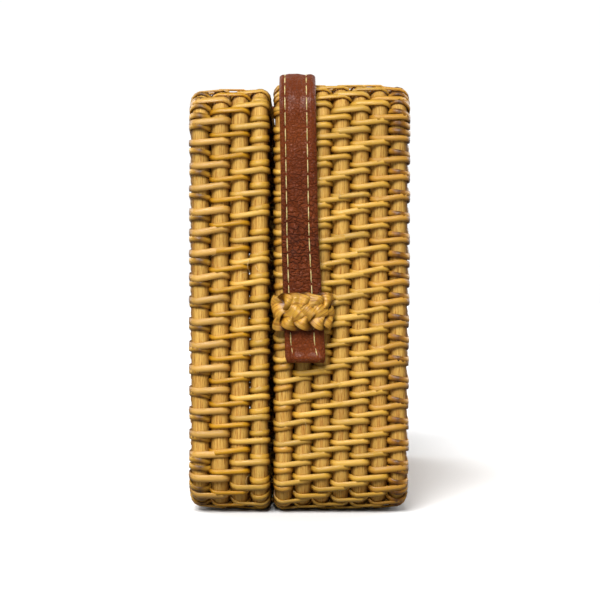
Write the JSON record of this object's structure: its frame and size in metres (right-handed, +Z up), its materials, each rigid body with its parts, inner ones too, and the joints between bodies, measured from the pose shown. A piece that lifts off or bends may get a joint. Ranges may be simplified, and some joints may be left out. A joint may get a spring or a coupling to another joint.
{
  "type": "woven rattan box bag",
  "caption": "Hard box handbag of coiled rattan: a deep basket and a shallow lid hinged at the bottom, with a sliding leather handle held by raffia keepers.",
  "frame": {"origin": "under the middle of the shut bag, on the surface it stands on", "axes": "+X across the width, +Y towards the back of the deep basket, -Y towards the lid, +Z up"},
  "size_m": [0.2118, 0.0824, 0.1686],
  "materials": {
    "cane": "glossy split cane, honey to pale tan",
    "rattan_rod": "matte peeled rattan with long pores",
    "hinge_cane": "glossy split cane",
    "raffia": "folded palm strips, satin",
    "handle_leather": "reddish brown, pebbled, satin, pale stitching",
    "tab_leather": "reddish brown, pebbled, satin",
    "steel": "brushed nickel"
  },
  "bodies": {
    "basket": {"basket_face_rod_1": "rattan_rod", "basket_face_rod_10": "rattan_rod", "basket_face_rod_2": "rattan_rod", "basket_face_rod_3": "rattan_rod", "basket_face_rod_4": "rattan_rod", "basket_face_rod_5": "rattan_rod", "basket_face_rod_6": "rattan_rod", "basket_face_rod_7": "rattan_rod", "basket_face_rod_8": "rattan_rod", "basket_face_rod_9": "rattan_rod", "basket_wall_rod_1": "rattan_rod", "basket_wall_rod_2": "rattan_rod", "basket_wall_rod_3": "rattan_rod", "basket_wall_rod_4": "rattan_rod", "basket_wall_rod_5": "rattan_rod", "basket_wall_rod_6": "rattan_rod", "basket_wall_rod_7": "rattan_rod", "basket_weave": "cane", "closure_magnet": "steel", "closure_tab": "tab_leather", "handle_keeper_left": "raffia", "handle_keeper_right": "raffia", "hinge_loop_1": "hinge_cane", "hinge_loop_2": "hinge_cane", "hinge_loop_3": "hinge_cane"},
    "lid": {"lid_face_rod_1": "rattan_rod", "lid_face_rod_10": "rattan_rod", "lid_face_rod_2": "rattan_rod", "lid_face_rod_3": "rattan_rod", "lid_face_rod_4": "rattan_rod", "lid_face_rod_5": "rattan_rod", "lid_face_rod_6": "rattan_rod", "lid_face_rod_7": "rattan_rod", "lid_face_rod_8": "rattan_rod", "lid_face_rod_9": "rattan_rod", "lid_wall_rod_1": "rattan_rod", "lid_wall_rod_2": "rattan_rod", "lid_wall_rod_3": "rattan_rod", "lid_wall_rod_4": "rattan_rod", "lid_weave": "cane", "closure_plate": "steel"},
    "handle": {"handle_strap": "handle_leather"}
  },
  "joints": [
    {"name": "lid_hinge", "type": "hinge", "parent": "basket", "child": "lid", "pos_m": [0, -0.01482, 0.0043], "axis": [1, 0, 0], "range_deg": [0, 95]},
    {"name": "handle_slide", "type": "slide", "parent": "basket", "child": "handle", "axis": [0, 0, 1], "range_m": [0, 0.007]}
  ]
}
